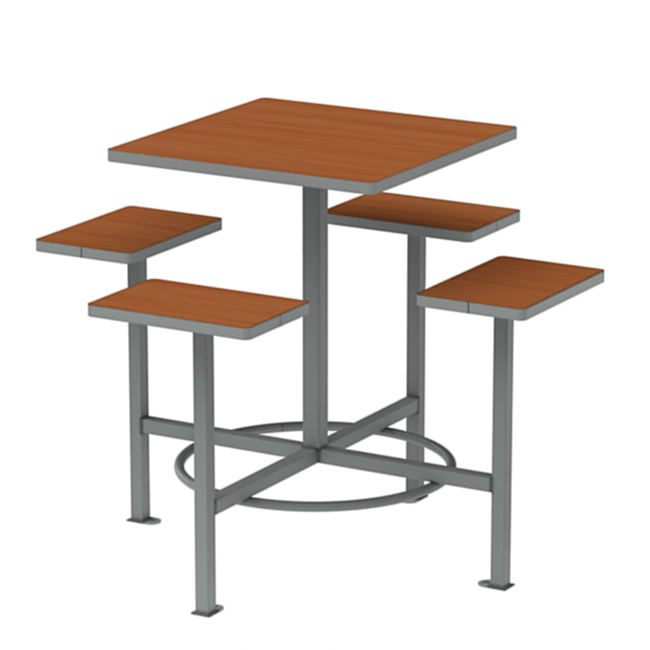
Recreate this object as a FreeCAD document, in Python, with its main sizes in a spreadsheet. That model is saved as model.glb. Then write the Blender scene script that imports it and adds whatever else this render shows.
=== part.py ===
# Bar-height table with four attached swivel seats.
# Millimetres, +Z up. The origin is on the floor, on the axis of the column.
# Seats stand on the -Y (front), +X (right), +Y (back) and -X (left) sides.

import FreeCAD
import Part
import Sketcher

import math
import os

# Driving sizes: alias, value, meaning.
SIZES = [
    # table top and seats are one make of panel: core, laminate on top, backer below, edge band round it
    ("table_size", 762.0, "side of the square table top over its edge band"),
    ("table_height", 1096.0, "floor to the table's top face"),
    ("table_corner", 19.0, "plan radius of the table's corners"),
    ("seat_length", 457.0, "long side of a seat, square to the arm"),
    ("seat_depth", 298.0, "short side of a seat, along the arm"),
    ("seat_height", 794.4, "floor to a seat's top face"),
    ("seat_corner", 19.0, "plan radius of a seat's corners"),
    ("seat_offset", 20.5, "seat's middle outside its post's axis"),
    ("core_thickness", 26.6, "board core"),
    ("laminate_thickness", 1.2, "decorative laminate"),
    ("backer_thickness", 0.8, "balancing sheet under the core"),
    ("band_thickness", 3.2, "edge band outside the core"),
    ("band_round", 1.0, "rounding of the band's outer edges"),
    ("band_gap", 1.0, "butt gap where the band's ends meet"),
    ("spine_thickness", 2.0, "band's barbed spine in the core's groove"),
    ("spine_depth", 9.5, "how far the spine reaches into the core"),
    ("groove_clearance", 0.1, "room round the spine in its groove"),
    ("fit_clearance", 0.05, "hairline between the band and the panel"),
    ("least_radius", 0.6, "sharpest corner that a plan outline takes"),
    ("cut_margin", 1.0, "how far a cut runs past the wall it opens"),
    # welded frame
    ("column_size", 50.8, "square column"),
    ("column_wall", 3.0, "column's wall"),
    ("column_corner", 7.6, "column's outer corner radius"),
    ("rail_size", 38.1, "square tube of the cross"),
    ("rail_wall", 2.5, "rail's wall"),
    ("rail_corner", 3.4, "rail's outer corner radius"),
    ("rail_top", 287.5, "floor to the top of the cross"),
    ("post_pitch", 538.6, "post's axis from the column's axis"),
    ("post_size", 38.1, "square post"),
    ("post_wall", 2.5, "post's wall"),
    ("post_corner", 3.4, "post's outer corner radius"),
    ("ring_radius", 350.4, "foot ring's centre line"),
    ("ring_tube", 25.4, "foot ring's tube"),
    ("ring_wall", 2.0, "foot ring's wall"),
    ("ring_seam", 0.6, "butt seam between the ends of the ring"),
    ("ring_seam_angle", 135.0, "place of the seam, degrees from +X"),
    ("foot_thickness", 3.0, "floor plate"),
    ("foot_width", 53.0, "floor plate's width"),
    ("foot_heel", 27.0, "plate's square outer end from the post's axis"),
    ("foot_tab", 32.7, "centre of the plate's round inner end from the post's axis"),
    ("anchor_hole", 14.0, "hole for the floor anchor"),
    ("anchor_inset", 40.6, "anchor hole from the post's axis, inwards"),
    # table mounting
    ("spider_thickness", 5.0, "steel spider under the table top"),
    ("spider_reach", 250.0, "spider's arm from the column's axis"),
    ("spider_width", 60.0, "width of a spider arm"),
    ("spider_round", 12.0, "corner radius of a spider arm"),
    ("spider_screw_inner", 110.0, "inner screw of an arm from the axis"),
    ("spider_screw_outer", 230.0, "outer screw of an arm from the axis"),
    ("screw_diameter", 4.8, "wood screw's shank"),
    ("screw_length", 22.0, "wood screw under its head"),
    ("screw_head", 10.0, "diameter of the screw's head"),
    ("screw_head_height", 3.0, "height of the screw's head"),
    ("screw_crown", 7.6, "flat top of the screw's head"),
    ("screw_clearance", 0.4, "room round the shank in a steel plate"),
    ("press_clearance", 0.02, "radial room of parts that are pressed together"),
    # swivel under each seat
    ("plate_length", 150.0, "swivel plate, along the seat's long side"),
    ("plate_depth", 110.0, "swivel plate, along the arm"),
    ("plate_thickness", 5.0, "swivel plate"),
    ("plate_round", 10.0, "corner radius of the swivel plate"),
    ("plate_screw_inset", 12.0, "seat screws from the plate's edges"),
    ("spindle_diameter", 20.0, "spindle welded under the swivel plate"),
    ("spindle_tail", 8.0, "spindle below the spring's lower leg"),
    ("running_clearance", 0.06, "radial room of the spindle in its bushings"),
    ("thrust_clearance", 0.1, "room between the plate and the bushing's flange"),
    ("bushing_wall", 2.4, "wall of a bushing"),
    ("bushing_length", 22.0, "length of a bushing's sleeve"),
    ("bushing_setback", 2.0, "lower bushing above the spring's notch"),
    ("flange_diameter", 34.0, "upper bushing's flange"),
    ("flange_thickness", 2.5, "upper bushing's flange"),
    ("housing_wall", 2.6, "wall of the bearing housing"),
    ("housing_length", 105.0, "housing's tube below the post's end"),
    ("cap_thickness", 4.0, "housing's square cap on the post's end"),
    ("swivel_range", 90.0, "turn of a seat each way, degrees"),
    ("stop_drop", 52.0, "stop pin below the post's end"),
    ("stop_pin_diameter", 6.0, "stop pin"),
    ("stop_pin_margin", 1.0, "stop pin short of the surfaces at its ends"),
    ("stop_clearance", 0.3, "room round the stop pin in its window"),
    ("spring_wire", 2.5, "return spring's wire"),
    ("spring_pitch", 3.4, "rise of the spring for one turn"),
    ("spring_turns", 6.0, "whole turns of the spring"),
    ("spring_gap", 6.0, "spring's top turn below the housing"),
    ("spring_elbow", 3.0, "diameter of the knuckles where the spring's legs bend off"),
    ("spring_clearance", 0.3, "room round the spring's legs"),
    ("spring_bite", 6.0, "how far the spring's legs reach into notch and spindle"),
]

# The four seats: turn about Z, the direction of the post, and the end that holds the band's butt gap.
SEATS = {
    "front": {"turn": 0, "x": 0, "y": -1, "seam_end": 1},
    "right": {"turn": 90, "x": 1, "y": 0, "seam_end": -1},
    "back": {"turn": 180, "x": 0, "y": 1, "seam_end": -1},
    "left": {"turn": 270, "x": -1, "y": 0, "seam_end": 1},
}

Z_AXIS = FreeCAD.Vector(0, 0, 1)

document = FreeCAD.newDocument("table_with_swivel_seats")
sheet = document.addObject("Spreadsheet::Sheet", "sizes")
for row, (alias, size, meaning) in enumerate(SIZES, start=1):
    sheet.set(f"A{row}", meaning)
    sheet.set(f"B{row}", str(size))
    sheet.setAlias(f"B{row}", alias)
document.recompute()

# Levels and radii that follow from the driving sizes, as expressions on the sheet.
STACK = "(sizes.core_thickness + sizes.laminate_thickness + sizes.backer_thickness)"
TABLE_UNDERSIDE = f"(sizes.table_height - {STACK})"
SPIDER_BOTTOM = f"({TABLE_UNDERSIDE} - sizes.spider_thickness)"
RAIL_BOTTOM = "(sizes.rail_top - sizes.rail_size)"
POST_FACE = "(sizes.post_pitch - sizes.post_size / 2)"

SEAT_UNDERSIDE = f"(sizes.seat_height - {STACK})"
PLATE_BOTTOM = f"({SEAT_UNDERSIDE} - sizes.plate_thickness)"
CAP_TOP = f"({PLATE_BOTTOM} - sizes.thrust_clearance - sizes.flange_thickness)"
POST_TOP = f"({CAP_TOP} - sizes.cap_thickness)"
HOUSING_BOTTOM = f"({POST_TOP} - sizes.housing_length)"
STOP_LEVEL = f"({POST_TOP} - sizes.stop_drop)"
SPRING_TOP = f"({HOUSING_BOTTOM} - sizes.spring_gap)"
SPRING_BOTTOM = f"({SPRING_TOP} - sizes.spring_turns * sizes.spring_pitch)"
SPINDLE_BOTTOM = f"({SPRING_BOTTOM} - sizes.spindle_tail)"

SPINDLE_RADIUS = "(sizes.spindle_diameter / 2)"
BUSHING_BORE = f"({SPINDLE_RADIUS} + sizes.running_clearance)"
BUSHING_OUTSIDE = f"({BUSHING_BORE} + sizes.bushing_wall)"
HOUSING_BORE = f"({BUSHING_OUTSIDE} + sizes.press_clearance)"
HOUSING_OUTSIDE = f"({HOUSING_BORE} + sizes.housing_wall)"
SPRING_RADIUS = f"(({HOUSING_BORE} + {HOUSING_OUTSIDE}) / 2)"
NOTCH_HEIGHT = "(sizes.spring_bite + 2 * sizes.spring_clearance)"

nodes = []


def value(expression):
    """Number that an expression on the sheet gives now."""
    return float(sheet.evalExpression(expression))


def keep(shape_object, label, seat=None):
    """Name a finished sub-part and put it on its seat's post, or leave it on the column's axis."""
    shape_object.Label = label
    if seat:
        shape_object.Placement = FreeCAD.Placement(FreeCAD.Vector(), FreeCAD.Rotation(Z_AXIS, seat["turn"]))
        shape_object.setExpression(".Placement.Base.x", f"{seat['x']} * sizes.post_pitch")
        shape_object.setExpression(".Placement.Base.y", f"{seat['y']} * sizes.post_pitch")
    nodes.append(shape_object)
    return shape_object


# ---- sketches ----

def add_sketch(body, plane, level="0"):
    """Sketch on one of the body's own origin planes, moved along the plane's normal to a level."""
    sketch = body.newObject("Sketcher::SketchObject", "profile")
    support = next(feature for feature in body.Origin.OriginFeatures if feature.Role == plane)
    sketch.AttachmentSupport = [(support, "")]
    sketch.MapMode = "FlatFace"
    sketch.setExpression(".AttachmentOffset.Base.z", level)
    return sketch


def constrain(sketch, constraint, expression=None):
    index = sketch.addConstraint(constraint)
    if expression:
        sketch.setExpression(f"Constraints[{index}]", expression)


def hold(sketch, direction, geometry, point, expression):
    """Hold a point at a signed distance from the sketch's origin along DistanceX or DistanceY."""
    distance = value(expression)
    if abs(distance) < 1e-9:
        axis = -2 if direction == "DistanceX" else -1
        constrain(sketch, Sketcher.Constraint("PointOnObject", geometry, point, axis))
    elif distance > 0:
        constrain(sketch, Sketcher.Constraint(direction, -1, 1, geometry, point, distance), expression)
    else:
        constraint = Sketcher.Constraint(direction, geometry, point, -1, 1, -distance)
        constrain(sketch, constraint, f"-({expression})")


def add_circle(sketch, radius, x="0", y="0"):
    centre = FreeCAD.Vector(value(x), value(y), 0)
    circle = sketch.addGeometry(Part.Circle(centre, Z_AXIS, value(radius)), False)
    constrain(sketch, Sketcher.Constraint("Radius", circle, value(radius)), radius)
    hold(sketch, "DistanceX", circle, 3, x)
    hold(sketch, "DistanceY", circle, 3, y)


def add_rectangle(sketch, left, right, low, high):
    x0, x1, y0, y1 = value(left), value(right), value(low), value(high)
    corners = [FreeCAD.Vector(x, y, 0) for x, y in ((x0, y0), (x1, y0), (x1, y1), (x0, y1))]
    lines = [Part.LineSegment(corners[i], corners[(i + 1) % 4]) for i in range(4)]
    sides = sketch.addGeometry(lines, False)
    for i in range(4):
        constrain(sketch, Sketcher.Constraint("Coincident", sides[i], 2, sides[(i + 1) % 4], 1))
        constrain(sketch, Sketcher.Constraint(("Horizontal", "Vertical")[i % 2], sides[i]))
    hold(sketch, "DistanceX", sides[3], 1, left)
    hold(sketch, "DistanceX", sides[1], 1, right)
    hold(sketch, "DistanceY", sides[0], 1, low)
    hold(sketch, "DistanceY", sides[2], 1, high)


def add_rounded_rectangle(sketch, length, depth, radius, x="0", y="0"):
    """Four sides joined by tangent quarter arcs, round the point x, y."""
    left, right = f"({x}) - ({length}) / 2", f"({x}) + ({length}) / 2"
    low, high = f"({y}) - ({depth}) / 2", f"({y}) + ({depth}) / 2"
    x0, x1, y0, y1, r = value(left), value(right), value(low), value(high), value(radius)
    ends = [((x0 + r, y0), (x1 - r, y0)), ((x1, y0 + r), (x1, y1 - r)),
            ((x1 - r, y1), (x0 + r, y1)), ((x0, y1 - r), (x0, y0 + r))]
    centres = [(x1 - r, y0 + r), (x1 - r, y1 - r), (x0 + r, y1 - r), (x0 + r, y0 + r)]
    lines = [Part.LineSegment(FreeCAD.Vector(*a, 0), FreeCAD.Vector(*b, 0)) for a, b in ends]
    quarter = math.pi / 2
    arcs = [Part.ArcOfCircle(Part.Circle(FreeCAD.Vector(*c, 0), Z_AXIS, r), (i - 1) * quarter, i * quarter)
            for i, c in enumerate(centres)]
    sides = sketch.addGeometry(lines, False)
    rounds = sketch.addGeometry(arcs, False)
    for i in range(4):
        constrain(sketch, Sketcher.Constraint("Tangent", sides[i], 2, rounds[i], 1))
        constrain(sketch, Sketcher.Constraint("Tangent", rounds[i], 2, sides[(i + 1) % 4], 1))
        constrain(sketch, Sketcher.Constraint(("Horizontal", "Vertical")[i % 2], sides[i]))
    for i in range(3):
        constrain(sketch, Sketcher.Constraint("Equal", rounds[i], rounds[i + 1]))
    constrain(sketch, Sketcher.Constraint("Radius", rounds[0], r), radius)
    hold(sketch, "DistanceX", sides[3], 1, left)
    hold(sketch, "DistanceX", sides[1], 1, right)
    hold(sketch, "DistanceY", sides[0], 1, low)
    hold(sketch, "DistanceY", sides[2], 1, high)


# ---- features ----

def new_body(label):
    return document.addObject("PartDesign::Body", label)


def pad(body, sketch, length, reverse=False, middle=False):
    feature = body.newObject("PartDesign::Pad", "pad")
    feature.Profile = sketch
    feature.setExpression("Length", length)
    feature.Reversed = reverse
    feature.Midplane = middle
    return feature


def pocket(body, sketch, depth=None, reverse=False, middle=False):
    """Cut a sketch to a depth, or through all where no depth is given."""
    feature = body.newObject("PartDesign::Pocket", "pocket")
    feature.Profile = sketch
    if depth:
        feature.setExpression("Length", depth)
    else:
        feature.Type = "ThroughAll"
    feature.Reversed = reverse
    feature.Midplane = middle
    return feature


def revolve(body, kind, sketch, angle, middle=False):
    """Turn a sketch about its vertical axis, as a PartDesign Revolution or Groove."""
    feature = body.newObject(f"PartDesign::{kind}", kind.lower())
    feature.Profile = sketch
    feature.ReferenceAxis = (sketch, ["V_Axis"])
    feature.setExpression("Angle", angle)
    feature.Midplane = middle
    return feature


def drill(body, holes, radius, level, depth=None):
    """Holes that run upwards from a level."""
    sketch = add_sketch(body, "XY_Plane", level)
    for x, y in holes:
        add_circle(sketch, radius, x, y)
    pocket(body, sketch, depth, reverse=True)


def cylinder(radius, height, level):
    """Upright Part cylinder on the local Z axis, standing on a level."""
    solid = document.addObject("Part::Cylinder", "cylinder")
    solid.setExpression("Radius", radius)
    solid.setExpression("Height", height)
    solid.setExpression(".Placement.Base.z", level)
    return solid


# ---- square tube, upright or lying ----

def tube_section(sketch, name, y="0"):
    size, wall, corner = f"sizes.{name}_size", f"sizes.{name}_wall", f"sizes.{name}_corner"
    inside = f"({size} - 2 * {wall})"
    add_rounded_rectangle(sketch, size, size, corner, y=y)
    add_rounded_rectangle(sketch, inside, inside, f"max({corner} - {wall}; sizes.least_radius)", y=y)


def upright_tube(label, name, low, high, seat=None):
    body = new_body(label)
    sketch = add_sketch(body, "XY_Plane", low)
    tube_section(sketch, name)
    pad(body, sketch, f"{high} - {low}")
    return keep(body, label, seat)


# ---- panels: table top and seats ----

def screw_depth(plate):
    """How deep a screw that holds a plate goes into the core."""
    return f"(sizes.screw_length - {plate} - sizes.backer_thickness)"


def panel(label, name, length, depth, top, screws, plate, seam, y="0", seat=None):
    """Core, laminate, backer and edge band of a panel whose middle is at y."""
    corner = f"sizes.{name}_corner"
    rim = "(sizes.band_thickness + sizes.fit_clearance)"
    underside = f"({top} - {STACK})"
    core_level = f"({underside} + sizes.backer_thickness)"
    groove = "(sizes.spine_thickness + 2 * sizes.groove_clearance)"
    cheek = f"((sizes.core_thickness - {groove}) / 2)"

    def outline(sketch, inset):
        add_rounded_rectangle(sketch, f"({length} - 2 * {inset})", f"({depth} - 2 * {inset})",
                              f"max({corner} - {inset}; sizes.least_radius)", y=y)

    # core: two cheeks with the spine's groove between them, and the screws' pilot holes
    core = new_body(f"{label}_core")
    groove_inset = f"({rim} + sizes.spine_depth + sizes.groove_clearance)"
    for level, thickness, inset in (
            (core_level, cheek, rim),
            (f"({core_level} + {cheek})", groove, groove_inset),
            (f"({core_level} + {cheek} + {groove})", cheek, rim)):
        sketch = add_sketch(core, "XY_Plane", level)
        outline(sketch, inset)
        pad(core, sketch, thickness)
    pilot = "(sizes.screw_diameter / 2 + sizes.press_clearance)"
    drill(core, screws, pilot, core_level, screw_depth(plate))
    keep(core, f"{label}_core", seat)

    # decorative laminate
    laminate = new_body(f"{label}_laminate")
    sketch = add_sketch(laminate, "XY_Plane", f"({top} - sizes.laminate_thickness)")
    outline(sketch, rim)
    pad(laminate, sketch, "sizes.laminate_thickness")
    keep(laminate, f"{label}_laminate", seat)

    # balancing sheet
    backer = new_body(f"{label}_backer")
    sketch = add_sketch(backer, "XY_Plane", underside)
    outline(sketch, rim)
    pad(backer, sketch, "sizes.backer_thickness")
    drill(backer, screws, pilot, underside)
    keep(backer, f"{label}_backer", seat)

    # edge band: a strip with rounded edges, its spine, and the butt gap through both
    band = new_body(f"{label}_edge_band")
    sketch = add_sketch(band, "XY_Plane", underside)
    outline(sketch, "0")
    outline(sketch, "sizes.band_thickness")
    strip = pad(band, sketch, STACK)
    document.recompute()
    rounding = band.newObject("PartDesign::Fillet", "rounding")
    rounding.Base = (strip, outer_rims(strip.Shape))
    rounding.setExpression("Radius", "min(sizes.band_round; sizes.band_thickness / 2)")
    sketch = add_sketch(band, "XY_Plane", f"({core_level} + {cheek} + sizes.groove_clearance)")
    outline(sketch, "sizes.band_thickness")
    outline(sketch, f"({rim} + sizes.spine_depth)")
    pad(band, sketch, "sizes.spine_thickness")
    sketch = add_sketch(band, "XY_Plane", underside)
    seam(sketch, f"({rim} + sizes.spine_depth)")
    pocket(band, sketch, reverse=True)
    keep(band, f"{label}_edge_band", seat)


def outer_rims(shape):
    """Names of the edges round the outside of a shape's two level faces."""
    rims = []
    for face in shape.Faces:
        if abs(abs(face.normalAt(0, 0).z) - 1) < 1e-6:
            for rim in face.OuterWire.Edges:
                rims += [f"Edge{i}" for i, edge in enumerate(shape.Edges, start=1) if edge.isSame(rim)]
    return rims


def side_seam(length, y, end):
    """Butt gap across a band's end at +X (end = 1) or -X (end = -1)."""
    def draw(sketch, reach):
        edge = f"{end} * {length} / 2"
        inside = f"{edge} - {end} * ({reach} + sizes.cut_margin)"
        outside = f"{edge} + {end} * sizes.cut_margin"
        left, right = (inside, outside) if end > 0 else (outside, inside)
        add_rectangle(sketch, left, right, f"({y}) - sizes.band_gap / 2", f"({y}) + sizes.band_gap / 2")
    return draw


def back_seam(depth):
    """Butt gap across the middle of a band's +Y side."""
    def draw(sketch, reach):
        add_rectangle(sketch, "-sizes.band_gap / 2", "sizes.band_gap / 2",
                      f"{depth} / 2 - {reach} - sizes.cut_margin", f"{depth} / 2 + sizes.cut_margin")
    return draw


def screws(label, places, head_level, seat=None):
    """Wood screws with pan heads, driven upwards from a level, as separate solids."""
    solids = []
    for x, y in places:
        shank = cylinder("sizes.screw_diameter / 2", "sizes.screw_length", head_level)
        head = document.addObject("Part::Cone", "head")
        head.setExpression("Radius1", "sizes.screw_crown / 2")
        head.setExpression("Radius2", "sizes.screw_head / 2")
        head.setExpression("Height", "sizes.screw_head_height")
        head.setExpression(".Placement.Base.z", f"{head_level} - sizes.screw_head_height")
        for piece in (shank, head):
            piece.setExpression(".Placement.Base.x", x)
            piece.setExpression(".Placement.Base.y", y)
        screw = document.addObject("Part::MultiFuse", "screw")
        screw.Shapes = [shank, head]
        solids.append(screw)
    group = document.addObject("Part::Compound", label)
    group.Links = solids
    return keep(group, label, seat)


# ---- frame ----

def foot_ring():
    """Round tube rolled into a ring under the rails, open by the width of its butt seam."""
    body = new_body("foot_ring")
    sketch = add_sketch(body, "XZ_Plane")
    level = f"({RAIL_BOTTOM} - sizes.ring_tube / 2)"
    add_circle(sketch, "sizes.ring_tube / 2", "sizes.ring_radius", level)
    add_circle(sketch, "sizes.ring_tube / 2 - sizes.ring_wall", "sizes.ring_radius", level)
    seam = "(sizes.ring_seam / sizes.ring_radius * 180 / pi)"
    revolve(body, "Revolution", sketch, f"360 - {seam}")
    body.Placement = FreeCAD.Placement(FreeCAD.Vector(), FreeCAD.Rotation(Z_AXIS, 1))
    body.setExpression(".Placement.Rotation.Angle", f"sizes.ring_seam_angle + {seam} / 2")
    keep(body, "foot_ring")


def cross():
    """One rail runs through along Y, and two butt against its sides along X."""
    middle = "sizes.rail_top - sizes.rail_size / 2"
    body = new_body("cross_rail_long")
    sketch = add_sketch(body, "XZ_Plane")
    tube_section(sketch, "rail", middle)
    pad(body, sketch, f"2 * {POST_FACE}", middle=True)
    keep(body, "cross_rail_long")
    for label, turn in (("cross_rail_right", 0), ("cross_rail_left", 180)):
        body = new_body(label)
        sketch = add_sketch(body, "YZ_Plane", "sizes.rail_size / 2")
        tube_section(sketch, "rail", middle)
        pad(body, sketch, f"{POST_FACE} - sizes.rail_size / 2")
        body.Placement = FreeCAD.Placement(FreeCAD.Vector(), FreeCAD.Rotation(Z_AXIS, turn))
        keep(body, label)


def foot_plate(label, seat):
    """Square at the heel, round at the tab that points to the column, with one anchor hole."""
    body = new_body(label)
    sketch = add_sketch(body, "XY_Plane")
    half, heel, tab = value("sizes.foot_width / 2"), -value("sizes.foot_heel"), value("sizes.foot_tab")
    corners = [FreeCAD.Vector(x, y, 0) for x, y in ((-half, tab), (-half, heel), (half, heel), (half, tab))]
    sides = sketch.addGeometry([Part.LineSegment(corners[i], corners[i + 1]) for i in range(3)], False)
    circle = Part.Circle(FreeCAD.Vector(0, tab, 0), Z_AXIS, half)
    end = sketch.addGeometry(Part.ArcOfCircle(circle, 0, math.pi), False)
    for i in range(2):
        constrain(sketch, Sketcher.Constraint("Coincident", sides[i], 2, sides[i + 1], 1))
    constrain(sketch, Sketcher.Constraint("Tangent", sides[2], 2, end, 1))
    constrain(sketch, Sketcher.Constraint("Tangent", end, 2, sides[0], 1))
    constrain(sketch, Sketcher.Constraint("Vertical", sides[0]))
    constrain(sketch, Sketcher.Constraint("Horizontal", sides[1]))
    hold(sketch, "DistanceX", sides[2], 1, "sizes.foot_width / 2")
    hold(sketch, "DistanceX", end, 3, "0")
    hold(sketch, "DistanceY", end, 3, "sizes.foot_tab")
    hold(sketch, "DistanceY", sides[1], 1, "-sizes.foot_heel")
    add_circle(sketch, "sizes.anchor_hole / 2", "0", "sizes.anchor_inset")
    pad(body, sketch, "sizes.foot_thickness")
    keep(body, label, seat)


def table_spider(holes):
    """Flat steel cross on the column's head, screwed to the underside of the table top."""
    body = new_body("table_spider")
    long, wide, corner = "2 * sizes.spider_reach", "sizes.spider_width", "sizes.spider_round"
    for length, depth in ((long, wide), (wide, long)):
        sketch = add_sketch(body, "XY_Plane", SPIDER_BOTTOM)
        add_rounded_rectangle(sketch, length, depth, corner)
        pad(body, sketch, "sizes.spider_thickness")
    drill(body, holes, "sizes.screw_diameter / 2 + sizes.screw_clearance", SPIDER_BOTTOM)
    keep(body, "table_spider")


# ---- swivel ----

def swivel_housing(label, seat):
    """Square cap on the post's end with a tube hanging in the post: a window for the stop pin's
    travel and a notch for the spring's upper leg."""
    body = new_body(label)
    sketch = add_sketch(body, "XY_Plane", POST_TOP)
    add_rounded_rectangle(sketch, "sizes.post_size", "sizes.post_size", "sizes.post_corner")
    add_circle(sketch, HOUSING_BORE)
    pad(body, sketch, "sizes.cap_thickness")
    sketch = add_sketch(body, "XY_Plane", POST_TOP)
    add_circle(sketch, HOUSING_OUTSIDE)
    add_circle(sketch, HOUSING_BORE)
    pad(body, sketch, "sizes.housing_length", reverse=True)
    # window: half its angle is the seat's turn plus the pin's own half-width at the bore
    half_height = "(sizes.stop_pin_diameter / 2 + sizes.stop_clearance)"
    sketch = add_sketch(body, "YZ_Plane")
    add_rectangle(sketch, f"-{HOUSING_OUTSIDE} - sizes.cut_margin", f"-{HOUSING_BORE} + sizes.cut_margin",
                  f"{STOP_LEVEL} - {half_height}", f"{STOP_LEVEL} + {half_height}")
    revolve(body, "Groove", sketch,
            f"2 * (sizes.swivel_range * 1 deg + asin({half_height} / {HOUSING_BORE}))", middle=True)
    # notch at the lower rim
    half_width = "(sizes.spring_wire / 2 + sizes.spring_clearance)"
    sketch = add_sketch(body, "XY_Plane", HOUSING_BOTTOM)
    add_rectangle(sketch, f"{HOUSING_BORE} - sizes.cut_margin", f"{HOUSING_OUTSIDE} + sizes.cut_margin",
                  f"-{half_width}", half_width)
    pocket(body, sketch, NOTCH_HEIGHT, reverse=True)
    keep(body, label, seat)


def bushings(label, seat):
    """Flanged bushing in the cap and a plain one above the notch, pressed into the housing."""
    flange = cylinder("sizes.flange_diameter / 2", "sizes.flange_thickness", CAP_TOP)
    sleeve = cylinder(BUSHING_OUTSIDE, "sizes.bushing_length", f"{CAP_TOP} - sizes.bushing_length")
    outside = document.addObject("Part::Fuse", "upper_outside")
    outside.Base, outside.Tool = flange, sleeve
    lower_level = f"({HOUSING_BOTTOM} + {NOTCH_HEIGHT} + sizes.bushing_setback)"
    rings = []
    for blank, level, height in (
            (outside, f"{CAP_TOP} - sizes.bushing_length", "sizes.bushing_length + sizes.flange_thickness"),
            (cylinder(BUSHING_OUTSIDE, "sizes.bushing_length", lower_level), lower_level,
             "sizes.bushing_length")):
        ring = document.addObject("Part::Cut", "bushing")
        ring.Base, ring.Tool = blank, cylinder(BUSHING_BORE, height, level)
        rings.append(ring)
    group = document.addObject("Part::Compound", label)
    group.Links = rings
    keep(group, label, seat)


def return_spring(label, seat):
    """Torsion spring round the spindle, made on its lower leg's level: its upper leg stands in the
    housing's notch, its lower leg reaches into the spindle."""
    wire = "sizes.spring_wire / 2"
    rise = "sizes.spring_turns * sizes.spring_pitch"
    quarter_turn = 0.25
    helix = document.addObject("Part::Helix", "coil_line")
    helix.setExpression("Radius", SPRING_RADIUS)
    helix.setExpression("Pitch", "sizes.spring_pitch")
    helix.setExpression("Height", rise)
    helix.SegmentLength = quarter_turn
    section = document.addObject("Part::Circle", "wire_section")
    section.setExpression("Radius", wire)
    section.Placement = FreeCAD.Placement(FreeCAD.Vector(), FreeCAD.Rotation(FreeCAD.Vector(1, 0, 0), 90))
    section.setExpression(".Placement.Base.x", SPRING_RADIUS)
    document.recompute()
    coil = document.addObject("Part::Sweep", "coil")
    coil.Sections = [section]
    coil.Spine = (helix, [f"Edge{i + 1}" for i in range(len(helix.Shape.Edges))])
    coil.Solid = True
    coil.Frenet = True
    upper = cylinder(wire, "sizes.spring_gap + sizes.spring_bite", rise)
    upper.setExpression(".Placement.Base.x", SPRING_RADIUS)
    lower = document.addObject("Part::Cylinder", "lower_leg")
    lower.Placement = FreeCAD.Placement(FreeCAD.Vector(), FreeCAD.Rotation(FreeCAD.Vector(0, 1, 0), -90))
    lower.setExpression("Radius", wire)
    lower.setExpression("Height", f"{SPRING_RADIUS} - {SPINDLE_RADIUS} + sizes.spring_bite")
    lower.setExpression(".Placement.Base.x", SPRING_RADIUS)
    pieces = [coil, upper, lower]
    for level in (rise, "0"):
        elbow = document.addObject("Part::Sphere", "elbow")
        elbow.setExpression("Radius", "sizes.spring_elbow / 2")
        elbow.setExpression(".Placement.Base.x", SPRING_RADIUS)
        elbow.setExpression(".Placement.Base.z", level)
        pieces.append(elbow)
    spring = document.addObject("Part::MultiFuse", label)
    spring.Shapes = pieces
    keep(spring, label, seat)
    spring.setExpression(".Placement.Base.z", SPRING_BOTTOM)


def swivel_plate(label, holes, seat):
    """Steel plate under the seat with the spindle welded to it, cross-drilled for pin and spring."""
    body = new_body(label)
    sketch = add_sketch(body, "XY_Plane", PLATE_BOTTOM)
    add_rounded_rectangle(sketch, "sizes.plate_length", "sizes.plate_depth", "sizes.plate_round")
    pad(body, sketch, "sizes.plate_thickness")
    drill(body, holes, "sizes.screw_diameter / 2 + sizes.screw_clearance", PLATE_BOTTOM)
    sketch = add_sketch(body, "XY_Plane", SPINDLE_BOTTOM)
    add_circle(sketch, SPINDLE_RADIUS)
    pad(body, sketch, f"{PLATE_BOTTOM} - {SPINDLE_BOTTOM}")
    sketch = add_sketch(body, "XZ_Plane")
    add_circle(sketch, "sizes.stop_pin_diameter / 2 + sizes.press_clearance", y=STOP_LEVEL)
    pocket(body, sketch, middle=True)
    sketch = add_sketch(body, "YZ_Plane")
    add_circle(sketch, "sizes.spring_wire / 2 + sizes.spring_clearance", y=SPRING_BOTTOM)
    pocket(body, sketch, middle=True)
    keep(body, label, seat)


def stop_pin(label, seat):
    """Pin across the spindle: its outer end runs in the housing's window."""
    body = new_body(label)
    inner_end = f"({SPINDLE_RADIUS} - sizes.stop_pin_margin)"
    sketch = add_sketch(body, "XZ_Plane", f"-{inner_end}")
    add_circle(sketch, "sizes.stop_pin_diameter / 2", y=STOP_LEVEL)
    pad(body, sketch, f"{inner_end} + {HOUSING_OUTSIDE} - sizes.stop_pin_margin")
    keep(body, label, seat)


# ---- the model ----

spider_holes = [(f"{x} * {place}", f"{y} * {place}")
                for place in ("sizes.spider_screw_inner", "sizes.spider_screw_outer")
                for x, y in ((1, 0), (0, 1), (-1, 0), (0, -1))]
plate_holes = [(f"{x} * (sizes.plate_length / 2 - sizes.plate_screw_inset)",
                f"{y} * (sizes.plate_depth / 2 - sizes.plate_screw_inset)")
               for x, y in ((1, 1), (-1, 1), (-1, -1), (1, -1))]

upright_tube("column", "column", "sizes.rail_top", SPIDER_BOTTOM)
cross()
foot_ring()
table_spider(spider_holes)
panel("table", "table", "sizes.table_size", "sizes.table_size", "sizes.table_height",
      spider_holes, "sizes.spider_thickness", back_seam("sizes.table_size"))
screws("table_screws", spider_holes, SPIDER_BOTTOM)

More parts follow.
